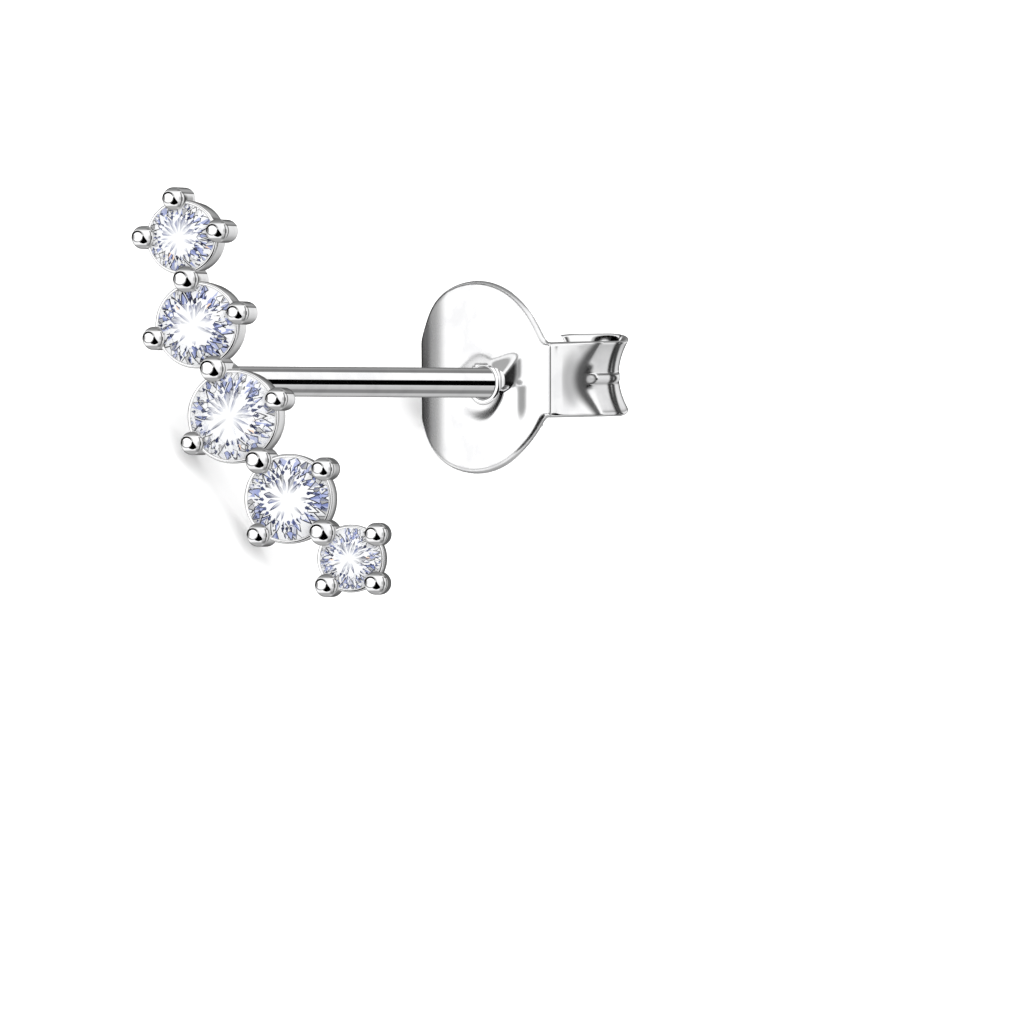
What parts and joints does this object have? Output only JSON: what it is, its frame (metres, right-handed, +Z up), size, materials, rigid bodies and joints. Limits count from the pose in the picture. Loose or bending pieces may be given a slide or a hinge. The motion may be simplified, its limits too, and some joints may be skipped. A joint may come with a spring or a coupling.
{
  "type": "ear climber earring",
  "caption": "Ear climber: a curved row of round brilliant-cut stones in prong collets on a leaning post, with a push-on butterfly back, lying as it rests unworn.",
  "frame": {"origin": "middle of the earring's box where it lies unworn, on the surface that it lies on", "axes": "+Z up from that surface, +Y along the post's plan, from the row of stones towards the post's tip, +X towards the row's bottom stone"},
  "size_m": [0.0118, 0.0156, 0.0061],
  "materials": {
    "silver": "mirror-polished silver",
    "stone": "clear faceted crystal"
  },
  "bodies": {
    "earring": {"climber_frame": "silver", "stone_1": "stone", "stone_2": "stone", "stone_3": "stone", "stone_4": "stone", "stone_5": "stone"},
    "back": {"butterfly_back": "silver"}
  },
  "joints": [
    {"name": "back_slide", "type": "slide", "parent": "earring", "child": "back", "axis": [0, 0.9935, 0.1136], "range_m": [-0.0083, 0.004]}
  ]
}
